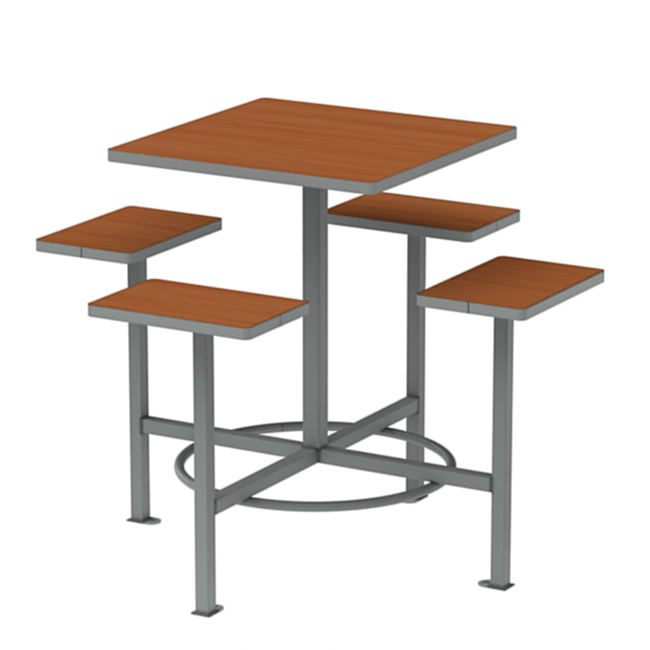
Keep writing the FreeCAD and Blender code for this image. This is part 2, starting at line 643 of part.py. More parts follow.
for side, seat in SEATS.items():
    foot_plate(f"{side}_foot_plate", seat)
    upright_tube(f"{side}_post", "post", "sizes.foot_thickness", POST_TOP, seat)
    swivel_housing(f"{side}_swivel_housing", seat)
    bushings(f"{side}_bushings", seat)
    return_spring(f"{side}_return_spring", seat)
    swivel_plate(f"{side}_swivel_plate", plate_holes, seat)
    stop_pin(f"{side}_stop_pin", seat)
    panel(f"{side}_seat", "seat", "sizes.seat_length", "sizes.seat_depth", "sizes.seat_height",
          plate_holes, "sizes.plate_thickness",
          side_seam("sizes.seat_length", "-sizes.seat_offset", seat["seam_end"]),
          y="-sizes.seat_offset", seat=seat)
    screws(f"{side}_seat_screws", plate_holes, PLATE_BOTTOM, seat)

document.recompute()

failed = [item.Label for item in document.Objects if {"Invalid", "Error"} & set(item.State)]
if failed:
    raise SystemExit(f"failed objects: {failed}")

os.makedirs("parts", exist_ok=True)
for node in nodes:
    shape = node.Shape
    if shape.isNull() or not shape.isValid() or not shape.Solids:
        raise SystemExit(f"bad shape: {node.Label}")
    shape.exportStep(f"parts/{node.Label}.step")
    print(f"{node.Label}: {len(shape.Solids)} solid(s), {shape.Volume / 1000:.2f} cm3")
print(f"{len(nodes)} nodes")
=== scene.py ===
import math

import bpy
import numpy as np
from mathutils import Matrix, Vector


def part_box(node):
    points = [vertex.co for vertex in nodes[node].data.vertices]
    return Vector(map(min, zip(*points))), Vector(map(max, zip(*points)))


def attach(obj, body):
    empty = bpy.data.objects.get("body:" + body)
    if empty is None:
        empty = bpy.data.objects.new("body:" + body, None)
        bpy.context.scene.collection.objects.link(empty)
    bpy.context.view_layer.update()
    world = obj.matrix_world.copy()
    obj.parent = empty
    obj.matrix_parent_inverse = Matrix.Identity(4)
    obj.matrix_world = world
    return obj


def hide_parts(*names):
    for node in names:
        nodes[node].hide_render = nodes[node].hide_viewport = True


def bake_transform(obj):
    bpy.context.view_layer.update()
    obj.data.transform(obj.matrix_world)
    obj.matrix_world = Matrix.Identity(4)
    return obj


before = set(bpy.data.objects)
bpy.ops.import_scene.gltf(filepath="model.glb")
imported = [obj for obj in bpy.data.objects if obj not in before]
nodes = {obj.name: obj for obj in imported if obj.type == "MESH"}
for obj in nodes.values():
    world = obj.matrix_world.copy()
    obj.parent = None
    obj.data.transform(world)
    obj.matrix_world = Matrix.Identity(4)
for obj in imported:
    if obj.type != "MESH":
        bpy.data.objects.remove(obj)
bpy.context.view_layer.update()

sides = {"front": (0, -1), "right": (1, 0), "back": (0, 1), "left": (-1, 0)}  # the way out to each seat


# Measures that the pieces share, read from the frame. Metres, +Z up.

def corners(node):
    low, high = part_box(node)
    return np.array(low), np.array(high)


columnHalf = corners("column")[1][0]
columnTop = corners("column")[1][2]
railLow, railHigh = corners("cross_rail_right")
railHalf, railMiddle, armEnd = railHigh[1], (railLow[2] + railHigh[2]) / 2, railHigh[0]
postLow, postHigh = corners("right_post")
postHalf, postOut = postHigh[1], (postLow[0] + postHigh[0]) / 2
plateTop = corners("right_foot_plate")[1][2]
ringLow, ringHigh = corners("foot_ring")
ringTube = (ringHigh[2] - ringLow[2]) / 2
ringRadius, ringLevel = ringHigh[0] - ringTube, (ringHigh[2] + ringLow[2]) / 2
tubeCorners = {"column": 0.0076, "post": 0.0034}  # outer corner radii of the square tubes, rails as posts


ring = {
    "seam": 135.0,         # degrees round from +X to the tube's butt seam
    "seamGap": 0.0006,
    "lip": 0.0007,         # radius of the tube's cut lips at the seam
    "around": 44, "along": 300, "lipSteps": 4,
}
band = {
    "thickness": 0.0032,
    "corner": 0.019,       # plan radius of a panel's corners
    "round": 0.0010,       # radius of the band's two outer edges
    "support": 0.0004,     # distance of the points that hold those edges, on the flats
    "gap": 0.0010,         # between the band's two ends
    "edgeSteps": 7, "cornerSteps": 14,
    "sharp": 50.0,         # degrees between two faces from which their edge stays sharp
}
bandSeams = {  # degrees round from +X to each band's butt seam
    "table": 90.0, "front_seat": 0.0, "right_seat": 270.0, "back_seat": 0.0, "left_seat": 270.0,
}


# Camera

camera = {
    "aim": (0.0088, 0.0344, 0.6028),
    "azimuth": 30.0,    # degrees round from the front, towards the right-hand seat
    "elevation": 15.0,
    "distance": 9.16,
    "lens": 198.5,
    "farthest": 100.0,
}


def lookFrom(azimuth, elevation):
    # Unit vector from the aim towards a viewer at these angles.
    around, above = math.radians(azimuth), math.radians(elevation)
    level = math.cos(above)
    return Vector((math.sin(around) * level, -math.cos(around) * level, math.sin(above)))


def addObject(name, data):
    made = bpy.data.objects.new(name, data)
    bpy.context.scene.collection.objects.link(made)
    return made


def addCamera(look):
    data = bpy.data.cameras.new("camera")
    data.lens, data.clip_end = look["lens"], look["farthest"]
    holder = addObject("camera", data)
    back = lookFrom(look["azimuth"], look["elevation"])
    holder.location = Vector(look["aim"]) + back * look["distance"]
    holder.rotation_euler = (math.radians(90 - look["elevation"]), 0, math.radians(look["azimuth"]))
    bpy.context.scene.camera = holder


addCamera(camera)
print("camera placed")


# Shader maths

class Wire:
    # An output of a finish's nodes: arithmetic on it adds Math nodes, and node() adds any other node.

    def __init__(self, tree, socket=None):
        self.tree, self.socket = tree, socket

    def node(self, kind, settings=None, feeds=None, output=0):
        made = self.tree.nodes.new(kind)
        for name, setting in (settings or {}).items():
            setattr(made, name, setting)
        for name, feed in (feeds or {}).items():
            self.join(feed, made.inputs[name])
        return Wire(self.tree, None if output is None else made.outputs[output])

    def join(self, feed, socket):
        if isinstance(feed, Wire):
            self.tree.links.new(feed.socket, socket)
        else:
            socket.default_value = feed

    def maths(self, operation, *values):
        return self.node("ShaderNodeMath", {"operation": operation}, dict(enumerate(values)))

    def __add__(self, other):
        return self.maths("ADD", self, other)

    def __radd__(self, other):
        return self.maths("ADD", other, self)

    def __sub__(self, other):
        return self.maths("SUBTRACT", self, other)

    def __rsub__(self, other):
        return self.maths("SUBTRACT", other, self)

    def __mul__(self, other):
        return self.maths("MULTIPLY", self, other)

    def __rmul__(self, other):
        return self.maths("MULTIPLY", other, self)

    def __truediv__(self, other):
        return self.maths("DIVIDE", self, other)

    def __rtruediv__(self, other):
        return self.maths("DIVIDE", other, self)

    def __pow__(self, other):
        return self.maths("POWER", self, other)

    def __rpow__(self, other):
        return self.maths("POWER", other, self)

    def __abs__(self):
        return self.maths("ABSOLUTE", self)


def greater(a, b):
    return a.maths("MAXIMUM", a, b)


def lesser(a, b):
    return a.maths("MINIMUM", a, b)


def held(a):
    return lesser(greater(a, 0.0), 1.0)


def past(distance, blend):
    # 0 before a border, and 1 from this many metres past it on.
    return held(distance / blend)


def within(distance, width, steep=1.0):
    # 1 at no distance and 0 from this width on. A steeper fall starts farther out.
    return held(steep - steep * (distance / width))


def swing(grain, width):
    # Noise of 0 to 1 as a swing about zero.
    return (grain - 0.5) * width


def reach(first, *others):
    # Length of the diagonal over these ways: the root of the sum of their squares.
    total = first * first
    for way in others:
        total = total + way * way
    return total ** 0.5


def noise(place, rate, detail=2.0, roughness=0.5, shift=(0.0, 0.0, 0.0)):
    # Noise of 0 to 1 about a half, with its own rate along X, Y and Z in grains to the metre.
    moved = place.node("ShaderNodeVectorMath", {"operation": "MULTIPLY_ADD"}, {0: place, 1: rate, 2: shift})
    return place.node("ShaderNodeTexNoise", {}, {"Vector": moved, "Scale": 1.0, "Detail": detail,
                                                 "Roughness": roughness})


def evenNoise(place, rate, detail=2.0):
    return noise(place, (rate, rate, rate), detail)


def mix(amount, first, second):
    # Colour between first, at 0, and second, at 1. The mix node's colour sockets are its 7th and 8th.
    return amount.node("ShaderNodeMix", {"data_type": "RGBA"}, {0: amount, 6: first, 7: second}, output=2)


def colour(rgb, gain=1.0):
    return (rgb[0] * gain, rgb[1] * gain, rgb[2] * gain, 1.0)


def mottled(amount, rgb, share):
    # The colour, up and down by a share of itself.
    return mix(amount, colour(rgb, 1 - share), colour(rgb, 1 + share))


def bump(height, strength, distance):
    return height.node("ShaderNodeBump", {}, {"Height": height, "Strength": strength, "Distance": distance})


def newFinish(name):
    # A material with its shader, its Object coordinates, and their X, Y and Z as three wires.
    material = bpy.data.materials.new(name)
    material.use_nodes = True
    tree = material.node_tree
    place = Wire(tree).node("ShaderNodeTexCoord", output="Object")
    split = [place.node("ShaderNodeSeparateXYZ", {}, {"Vector": place}, output=axis) for axis in "XYZ"]
    return material, tree.nodes["Principled BSDF"], place, split


def dress(material, shader, feeds):
    wire = Wire(material.node_tree)
    for name, feed in feeds.items():
        wire.join(feed, shader.inputs[name])
    return material


# Finishes

paint = {  # rates are grains to the metre, and swings are about the middle value
    "ground": (0.1036, 0.1120, 0.1093),
    "mottle": 0.05,                  # share by which the coat's tone drifts
    "drift": {"rate": 5.0, "tone": 1.2, "roughness": 0.12},     # slow cloud and its two swings
    "fleck": {"rate": 420.0, "tone": 0.35, "roughness": 0.06},
    "peel": {"rate": 700.0, "strength": 0.10, "height": 0.0004},  # orange peel
    "roughness": 0.50,
    "sheen": 0.25,                   # level of the clear reflection
    "paintedShade": (0.012, 0.013, 0.013),   # painted shade in an inner corner and on an anchor hole's wall
    "paintedShadeShare": 0.92,                 # share of that tone in the corner itself
    "corner": 0.010,                 # reach of the painted shade from a welded line
    "shadeFade": 1.3,               # power of its fading
    "footSpread": 1.25,              # how much farther it goes out over a floor plate than up a post
    "seamSqueeze": 5.0,              # how much narrower it is along the foot ring's seam
    "onRing": 1.05,                  # tube radii within which a place is on the foot ring
    "ringTopShadeTone": 0.72,                 # tone of the painted shade on the foot ring's upper half
    "ringTopShadeRamp": (0.3, 1.4),             # painted shade at the ring's middle height, and its rise to the top
    "rubbedAndLitTab": (0.200, 0.212, 0.208),  # a floor plate's tab: coat rubbed pale, and painted lighter as light on its top
    "rubbedAndLitShare": 0.85,                   # share of that paler tone
    "rubbedAndLitSwing": 0.4,               # and how much it drifts
    "anchor": 0.0406,                # the anchor hole's place, inwards from its post's axis
    "anchorWall": 0.0075,            # the anchor hole's wall, in painted shade, lies inside this radius
    "plateMargin": 0.001,            # what lies less than this above a floor plate is part of it
}
blends = {"ring": 0.00025, "hole": 0.00025, "plate": 0.0005, "tab": 0.0025, "bandEnd": 0.001,
          "tableHalf": 0.010}        # widths over which the finishes' masks set in


def jointPaintedShade(split):
    # Painted shade of 0 to 1 near the frame's welded lines and inner corners, and along the foot ring's
    # seam. The four arms
    # are folded onto one: u runs out along an arm and v across it. Each line's distance is the hypotenuse
    # of the ways to it.
    x, y, z = split
    u, v = greater(abs(x), abs(y)), lesser(abs(x), abs(y))
    aside = greater(greater(abs(u - postOut), v) - postHalf, 0.0)
    offRail = greater(abs(z - railMiddle) - railHalf, 0.0)
    lines = (
        reach(aside / paint["footSpread"], z - plateTop),                   # post on its floor plate
        reach(u - armEnd, offRail, greater(v - postHalf, 0.0)),             # arm on its post
        reach(greater(u - columnHalf, 0.0), z - railHigh[2]),               # column on the cross
        reach(u - railHalf, v - railHalf, offRail),                         # arm beside arm
        reach(u - ringRadius, z - railLow[2], greater(v - railHalf, 0.0)),  # ring under an arm
        ringSeamLine(split),
    )
    nearest = lines[0]
    for line in lines[1:]:
        nearest = lesser(nearest, line)
    return within(nearest, paint["corner"]) ** paint["shadeFade"]


def ringSeamLine(split):
    # Distance from the flat disc of the foot ring's butt seam, stretched to make its line a narrow one.
    x, y, z = split
    turn = math.radians(ring["seam"])
    way = (math.cos(turn), math.sin(turn))
    beside = y * way[0] - x * way[1]
    fromMiddle = reach(x - way[0] * ringRadius, y - way[1] * ringRadius, z - ringLevel)
    return reach(beside * paint["seamSqueeze"], greater(fromMiddle - ringTube * paint["onRing"], 0.0))


def ringTopShade(split):
    # Painted shade of 0 to 1 over the foot ring's upper half, by the height above its middle, and 0 off the
    # ring.
    x, y, z = split
    atMiddle, rise = paint["ringTopShadeRamp"]
    insideRing = ringTube * paint["onRing"] - reach(reach(x, y) - ringRadius, z - ringLevel)
    return held((z - ringLevel) / ringTube * rise + atMiddle) * past(insideRing, blends["ring"])


def fromAnchor(split):
    # Distance in plan from the axis of the nearest anchor hole.
    x, y = split[:2]
    return reach(greater(abs(x), abs(y)) - (postOut - paint["anchor"]), lesser(abs(x), abs(y)))


def inAnchor(split):
    # 1 inside the anchor holes and on their walls.
    return past(paint["anchorWall"] - fromAnchor(split), blends["hole"])


def tabLightAndHoleShade(split):
    # Two masks on each floor plate: its tab, inwards of the post, rubbed pale and painted lighter as lit
    # from above, and the wall of the tab's anchor hole, in painted shade.
    x, y, z = split
    onPlate = past(plateTop + paint["plateMargin"] - z, blends["plate"])
    tab = past(postOut - postHalf - greater(abs(x), abs(y)), blends["tab"]) * onPlate
    return tab, inAnchor(split) * onPlate


def paintFinish():
    # Powder coat: a tone that drifts slowly, orange peel in the bump, painted shade on the foot ring's
    # upper half, tabs rubbed pale and painted lighter as lit from above, painted shade on their anchor
    # holes' walls, and painted shade in the inner corners.
    material, shader, place, split = newFinish("powderCoat")
    drift = evenNoise(place, paint["drift"]["rate"], detail=3.0)
    fleck = evenNoise(place, paint["fleck"]["rate"], detail=1.0)
    peel = evenNoise(place, paint["peel"]["rate"], detail=1.5)
    tone = held(0.5 + swing(drift, paint["drift"]["tone"]) + swing(fleck, paint["fleck"]["tone"]))
    tab, hole = tabLightAndHoleShade(split)
    skin = mottled(tone, paint["ground"], paint["mottle"])
    # painted shade on the foot ring's upper half
    skin = mix(ringTopShade(split), skin, colour(paint["ground"], paint["ringTopShadeTone"]))
    # tab rubbed pale, and painted lighter as light falling on its top
    skin = mix(tab * (paint["rubbedAndLitShare"] + swing(drift, paint["rubbedAndLitSwing"])), skin, colour(paint["rubbedAndLitTab"]))
    # painted shade on the anchor hole's wall
    skin = mix(hole * paint["paintedShadeShare"], skin, colour(paint["paintedShade"]))
    # painted shade along the welded lines, in the inner corners and along the ring's seam
    skin = mix(jointPaintedShade(split) * paint["paintedShadeShare"], skin, colour(paint["paintedShade"]))
    roughSwing = swing(drift, paint["drift"]["roughness"]) + swing(fleck, paint["fleck"]["roughness"])
    return dress(material, shader, {
        "Base Color": skin,
        "Roughness": paint["roughness"] + roughSwing,
        "Specular IOR Level": paint["sheen"],
        "Normal": bump(peel, paint["peel"]["strength"], paint["peel"]["height"]),
    })


wood = {
    "light": (0.2125, 0.0743, 0.0237),
    "deep": (0.1785, 0.0460, 0.0121),
    "pore": (0.1012, 0.0267, 0.0074),
    "warm": (0.2530, 0.0570, 0.0078),  # the sheet's rim, where its print is trimmed
    "warmFade": (0.0045, 1.5),         # the rim's width, and how steeply it ends
    "warmShare": 0.40,
    "edge": (0.036, 0.018, 0.0110),    # the sheet's own cut edge
    "edgeFade": (0.0011, 2.0),
    "corner": 0.0158,                  # plan radius of the sheet's corners
    "bend": 0.030,                     # how far the slow noise pushes the lines aside
    "balance": 0.48,                   # share of the deep tone, about which the layers swing
    "swings": {"bands": 1.7, "streaks": 2.3, "fine": 0.9},
    "poreFrom": 0.62, "poreSteep": 7.0,    # noise at which a pore's dark sets in, and how fast it does
    "poreShare": 0.35,
    "dentFrom": 0.60, "dentSteep": 5.0,    # the same for its dent
    "dentDepth": 0.8,
    "roughness": 0.60,
    "roughSwings": {"fine": 0.10, "bands": 0.05},
    "sheen": 0.01,                     # level of the clear reflection
    "relief": (0.08, 0.0002),          # strength and height of the bump
}
woodLayers = {  # grains to the metre along X, Y and Z, detail, its roughness, and the layer's own shift
    "bands": ((0.7, 15.0, 1.0), 2.0, 0.50, 3.0),
    "streaks": ((2.6, 95.0, 1.0), 4.0, 0.62, 9.0),
    "fine": ((9.0, 520.0, 1.0), 2.0, 0.60, 5.0),
    "pores": ((26.0, 900.0, 1.0), 1.0, 0.50, 7.0),
}
woodBend = (1.3, 5.0, 1.0)    # the same grains for the slow noise that bends the lines


def insideSheet(node, split):
    # Distance inside a sheet's rounded outline. With q as the outward way from the nearest corner's centre,
    # it is the radius, less the length of q's positive parts, less q's greater part where it is negative.
    low, high = corners(node)
    middle, half = (low + high) / 2, (high - low) / 2
    beyondX = abs(split[0] - middle[0]) - (half[0] - wood["corner"])
    beyondY = abs(split[1] - middle[1]) - (half[1] - wood["corner"])
    beyond = reach(greater(beyondX, 0.0), greater(beyondY, 0.0))
    return wood["corner"] - beyond - lesser(greater(beyondX, beyondY), 0.0)


def woodFinish(name, node, tone, seed):
    # Wood figure along X. Each layer is noise with a low rate along X and a high one along Y: broad bands,
    # streaks, fine lines and short pores. A slow noise bends them all.
    material, shader, place, (x, y, z) = newFinish(name)
    bend = noise(place, woodBend, detail=1.0, shift=(seed, 0.0, 0.0))
    line = place.node("ShaderNodeCombineXYZ", {}, {"X": x, "Y": y + swing(bend, wood["bend"]), "Z": z})
    layer = {kind: noise(line, rate, detail, roughness, (seed, shift, 0.0))
             for kind, (rate, detail, roughness, shift) in woodLayers.items()}
    figure, rough = wood["balance"], wood["roughness"]
    for kind, width in wood["swings"].items():
        figure = figure + swing(layer[kind], width)
    for kind, width in wood["roughSwings"].items():
        rough = rough + swing(layer[kind], width)
    pores = held((layer["pores"] - wood["poreFrom"]) * wood["poreSteep"])
    dents = held((layer["pores"] - wood["dentFrom"]) * wood["dentSteep"])
    inside = insideSheet(node, (x, y))
    # tone is the panel's brightness, lowered on the left seat as painted shade
    face = mix(held(figure), colour(wood["light"], tone), colour(wood["deep"], tone))
    face = mix(pores * wood["poreShare"], face, colour(wood["pore"], tone))
    rim = within(inside, *wood["warmFade"]) * wood["warmShare"]
    face = mix(rim, face, colour(wood["warm"], tone))
    face = mix(within(inside, *wood["edgeFade"]), face, colour(wood["edge"]))
    return dress(material, shader, {
        "Base Color": face,
        "Roughness": rough,
        "Specular IOR Level": wood["sheen"],
        "Normal": bump(layer["fine"] - dents * wood["dentDepth"], *wood["relief"]),
    })


vinyl = {
    "ground": (0.1316, 0.1430, 0.1399),
    "mottle": 0.05,
    "die": {"rate": (3.0, 3.0, 700.0), "tone": 0.7, "roughness": 0.10},  # lengthwise lines of the die
    "cloud": {"rate": 7.0, "tone": 0.9},
    "lip": (0.1250, 0.1660, 0.1870),     # painted highlight, cooler, on the upper lip beside the laminate
    "lipHighlightShare": 0.6,
    "lipHeight": 0.0026,
    "flat": (0.022, 0.022, 0.022),       # the flat top beside the laminate, in painted shade
    "flatFade": (0.0003, 1.5),           # how far down it goes, and how steeply it ends
    "flatShade": 0.95,
    "tableFlatShade": (0.45, 1.0),       # painted shade on the table's flat: less on its front and right sides, more on its back and left ones
    "seam": (0.020, 0.022, 0.022),       # grime in the butt seam
    "seamFade": (0.0018, 1.4),
    "seamShade": 0.9,
    "grain": 900.0,
    "grainLines": 0.5,                   # share of the die's lines in the bump
    "relief": (0.06, 0.0003),            # strength and height of the bump
    "roughness": 0.50,
    "sheen": 0.25,
}


def vinylFinish(name, panel):
    # Extruded edge band: fine lengthwise die lines, a pebbled bump, a painted highlight on its upper lip
    # outside a flat in painted shade, and a dark line along its butt seam, on the side that the seam's
    # direction points to.
    low, high = corners(f"{panel}_edge_band")
    middle, top = (low + high) / 2, high[2]
    turn = math.radians(bandSeams[panel])
    way = (round(math.cos(turn)), round(math.sin(turn)))
    material, shader, place, (x, y, z) = newFinish(name)
    fromX, fromY, depth = x - middle[0], y - middle[1], top - z
    beside, ahead = abs(fromY * way[0] - fromX * way[1]), fromX * way[0] + fromY * way[1]
    seam = within(beside, *vinyl["seamFade"]) * past(ahead, blends["bandEnd"])
    die = noise(place, vinyl["die"]["rate"])
    cloud = evenNoise(place, vinyl["cloud"]["rate"])
    pebble = evenNoise(place, vinyl["grain"], detail=1.0)
    tone = held(0.5 + swing(die, vinyl["die"]["tone"]) + swing(cloud, vinyl["cloud"]["tone"]))
    # share of painted shade on the flat; on the table it is less on the front and right sides
    shade = vinyl["flatShade"]
    if panel == "table":
        nearSidesShade, farSidesShade = vinyl["tableFlatShade"]
        shade = nearSidesShade + (farSidesShade - nearSidesShade) * past(fromY - fromX, blends["tableHalf"])
    face = mottled(tone, vinyl["ground"], vinyl["mottle"])
    # painted highlight on the upper lip
    face = mix(within(depth, vinyl["lipHeight"]) * vinyl["lipHighlightShare"], face, colour(vinyl["lip"]))
    # the flat in painted shade
    face = mix(within(depth, *vinyl["flatFade"]) * shade, face, colour(vinyl["flat"]))
    face = mix(seam * vinyl["seamShade"], face, colour(vinyl["seam"]))
    return dress(material, shader, {
        "Base Color": face,
        "Roughness": vinyl["roughness"] + swing(die, vinyl["die"]["roughness"]),
        "Specular IOR Level": vinyl["sheen"],
        "Normal": bump(pebble + die * vinyl["grainLines"], *vinyl["relief"]),
    })


hidden = {  # name: two tones, grains to the metre along X, Y and Z, roughness, metal, bump
    "particleBoard": ((0.50, 0.34, 0.17), (0.29, 0.17, 0.08), (320.0, 320.0, 700.0), 0.85, 0.0, 0.5),
    "backerSheet": ((0.100, 0.078, 0.062), (0.074, 0.057, 0.046), (260.0, 260.0, 260.0), 0.60, 0.0, 0.1),
    "zincSteel": ((0.60, 0.60, 0.57), (0.47, 0.48, 0.47), (240.0, 240.0, 240.0), 0.34, 1.0, 0.1),
    "springSteel": ((0.11, 0.11, 0.12), (0.06, 0.06, 0.07), (300.0, 300.0, 300.0), 0.38, 1.0, 0.1),
    "nylon": ((0.78, 0.75, 0.66), (0.70, 0.67, 0.58), (90.0, 90.0, 90.0), 0.45, 0.0, 0.05),
}
hiddenGrain = {  # swings of tone and roughness, grains to the metre of the slower noise, height of the bump
    "tone": 2.2, "roughness": 0.15, "slowRate": 20.0, "height": 0.0003,
}


def plainFinish(name):
    # Two tones by one noise, the same noise in the bump, and a slower one in the roughness.
    first, second, rate, rough, metal, relief = hidden[name]
    material, shader, place, split = newFinish(name)
    grain = noise(place, rate, detail=3.0, roughness=0.6)
    slow = evenNoise(place, hiddenGrain["slowRate"])
    return dress(material, shader, {
        "Base Color": mix(held(0.5 + swing(grain, hiddenGrain["tone"])), colour(first), colour(second)),
        "Roughness": rough + swing(slow, hiddenGrain["roughness"]),
        "Metallic": metal,
        "Normal": bump(grain, relief, hiddenGrain["height"]),
    })


coat = paintFinish()
finishes = {name: plainFinish(name) for name in hidden}
panelShade = {  # brightness of each panel's wood; the left seat's lower value is painted shade
    "table": 1.0, "front_seat": 1.0, "right_seat": 1.0, "back_seat": 1.0, "left_seat": 0.97,
}
panelShift = 11.0  # between the wood noises of one panel and the next
woods = {panel: woodFinish(f"laminate_{panel}", f"{panel}_laminate", tone, panelShift * number)
         for number, (panel, tone) in enumerate(panelShade.items())}
vinyls = {panel: vinylFinish(f"edgeBand_{panel}", panel) for panel in panelShade}
print("finishes:", len(bpy.data.materials))


def finishOf(node):
    # The finish for a CAD node, from the end of its name.
    for panel in panelShade:
        if node == f"{panel}_laminate":
            return woods[panel]
        if node == f"{panel}_edge_band":
            return vinyls[panel]
    endings = {"core": "particleBoard", "backer": "backerSheet", "screws": "zincSteel",
               "stop_pin": "zincSteel", "return_spring": "springSteel", "bushings": "nylon"}
    for ending, name in endings.items():
        if node.endswith(ending):
            return finishes[name]
    return coat


def paintObject(piece, material):
    piece.data.materials.clear()
    piece.data.materials.append(material)


for name, piece in nodes.items():
    paintObject(piece, finishOf(name))
print("CAD nodes painted")


# Surfaces

def gridFaces(points, loop=False):
    # points is rows x columns x 3. Neighbours make quads, and the last column joins the first. So does the
    # last row with loop, and without it the run of rows is closed with one face at each end.
    rows, columns = points.shape[:2]
    index = np.arange(rows * columns).reshape(rows, columns)
    ends = [] if loop else [index[0][::-1].tolist(), index[-1].tolist()]
    if loop:
        index = np.vstack([index, index[:1]])
    index = np.hstack([index, index[:, :1]])
    around = [index[:-1, :-1], index[:-1, 1:], index[1:, 1:], index[1:, :-1]]
    return points.reshape(-1, 3), np.stack(around, axis=-1).reshape(-1, 4), ends


def outwards(points, quads):
    # Whether the quads wind outwards: their centres dotted with their area vectors sum to more than zero.
    a, b, c, d = (points[quads[:, k]] for k in range(4))
    return (((a + b + c + d) / 4 - points.mean(axis=0)) * np.cross(c - a, d - b)).sum() > 0


def addMesh(name, points, faces):
    mesh = bpy.data.meshes.new(name)
    mesh.from_pydata(points, [], faces)
    return addObject(name, mesh)


def addPiece(name, grids, material, body, replaced=(), sharp=40.0):
    # One object of several closed grids, each turned to face outwards. With no body, it is left unattached.
    verts, faces, start = [], [], 0
    for points, quads, ends in grids:
        if not outwards(points, quads):
            quads, ends = quads[:, ::-1], [end[::-1] for end in ends]
        verts.append(points)
        faces += (quads + start).tolist() + [[corner + start for corner in end] for end in ends]
        start += len(points)
    piece = addMesh(name, np.vstack(verts).tolist(), faces)
    piece.data.shade_smooth()
    piece.data.set_sharp_from_angle(angle=math.radians(sharp))
    piece.data.update()
    piece.data.materials.append(material)
    if body:
        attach(piece, body)
    if replaced:
        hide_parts(*replaced)
    return piece


def roundedOutline(halfX, halfY, radius, steps, start=0.0, gap=0.0):
    # Rounded rectangle as four quarter arcs, anticlockwise from the middle of the side that faces start
    # degrees. A gap leaves it open there. Gives the points and their outward directions.
    turns = np.radians(start + 90.0 * np.arange(4))[:, None]
    angles = turns + np.radians(np.linspace(0.0, 90.0, steps + 1))
    outward = np.stack([np.cos(angles), np.sin(angles), np.zeros_like(angles)], axis=-1)
    signs = np.sign(np.stack([np.cos(turns + math.pi / 4), np.sin(turns + math.pi / 4)], axis=-1))
    centres = np.concatenate([signs * (halfX - radius, halfY - radius), np.zeros((4, 1, 1))], axis=-1)
    points, outward = (centres + radius * outward).reshape(-1, 3), outward.reshape(-1, 3)
    if gap:
        way = np.array([math.cos(math.radians(start)), math.sin(math.radians(start)), 0.0])
        edge, across = way * (halfX, halfY, 0.0), np.array([-way[1], way[0], 0.0]) * gap / 2
        points = np.vstack([edge + across, points, edge - across])
        outward = np.vstack([way, outward, way])
    return points, outward


def carry(line, first, second, section):
    # Each point of the section, as a share of two directions, at each point of the line.
    return line[:, None] + first[:, None] * section[None, :, :1] + second[:, None] * section[None, :, 1:]


def circle(steps, start=0.0):
    # Points of a unit circle: the cosine and the sine of even turns.
    turn = start + np.linspace(0.0, 2 * math.pi, steps, endpoint=False)
    return np.stack([np.cos(turn), np.sin(turn)], axis=-1)


def upwards(count):
    # The way up, once for each point of a line.
    return np.tile([0.0, 0.0, 1.0], (count, 1))


# Foot ring

def footRing(look):
    # Torus, open at its seam: a circle of the tube's radius carried along a circle of the ring's. The end
    # rows shrink by a quarter circle, which rounds the tube's cut lips.
    length, lip = 2 * math.pi * ringRadius - look["seamGap"], look["lip"]
    quarter = np.linspace(0.0, math.pi / 2, look["lipSteps"] + 1)[:-1]
    inset, along = lip * (1 - np.sin(quarter)), lip * (1 - np.cos(quarter))
    spread = np.linspace(lip, length - lip, look["along"])
    distance = np.concatenate([along, spread, (length - along)[::-1]])
    radius = ringTube - np.concatenate([inset, np.zeros(len(spread)), inset[::-1]])
    angle = math.radians(look["seam"]) + (look["seamGap"] / 2 + distance) / ringRadius
    out = np.stack([np.cos(angle), np.sin(angle), np.zeros_like(angle)], axis=-1)
    centre = out * ringRadius + (0.0, 0.0, ringLevel)
    widths = radius[:, None]
    return gridFaces(carry(centre, out * widths, upwards(len(out)) * widths, circle(look["around"])))


addPiece("footRing", [footRing(ring)], coat, "frame", ["foot_ring"])
print("foot ring made")


# Edge bands

def bandSection(look, low, high):
    # Strip on edge: quarter arcs at its two outer edges, each held by a point just past it on the flats,
    # and plain inner edges.
    r, hold = look["round"], look["support"]
    arc = np.linspace(0.0, math.pi / 2, look["edgeSteps"])
    lower = np.stack([r * np.sin(arc) - r, low + r - r * np.cos(arc)], axis=-1)
    upper = np.stack([r * np.cos(arc) - r, high - r + r * np.sin(arc)], axis=-1)
    flats = [[[-look["thickness"], low], [-r - hold, low]], [[0.0, low + r + hold], [0.0, high - r - hold]],
             [[-r - hold, high], [-look["thickness"], high]]]
    return np.vstack([flats[0], lower, flats[1], upper, flats[2]])


def edgeBand(look, panel):
    # The strip's section carried round the panel's outline, from one side of its butt seam to the other.
    low, high = corners(f"{panel}_edge_band")
    middle, half = (low + high) / 2, (high - low) / 2
    line, out = roundedOutline(half[0], half[1], look["corner"], look["cornerSteps"], bandSeams[panel],
                               look["gap"])
    line = line + (middle[0], middle[1], 0.0)
    return gridFaces(carry(line, out, upwards(len(line)), bandSection(look, low[2], high[2])))


def addEdgeBands(look):
    for panel in panelShade:
        side = panel.split("_")[0]
        body = "frame" if panel == "table" else "seat_" + side
        name = "tableEdgeBand" if panel == "table" else side + "SeatEdgeBand"
        addPiece(name, [edgeBand(look, panel)], vinyls[panel], body, [f"{panel}_edge_band"],
                 sharp=look["sharp"])


addEdgeBands(band)
print("edge bands made")


# Weld beads

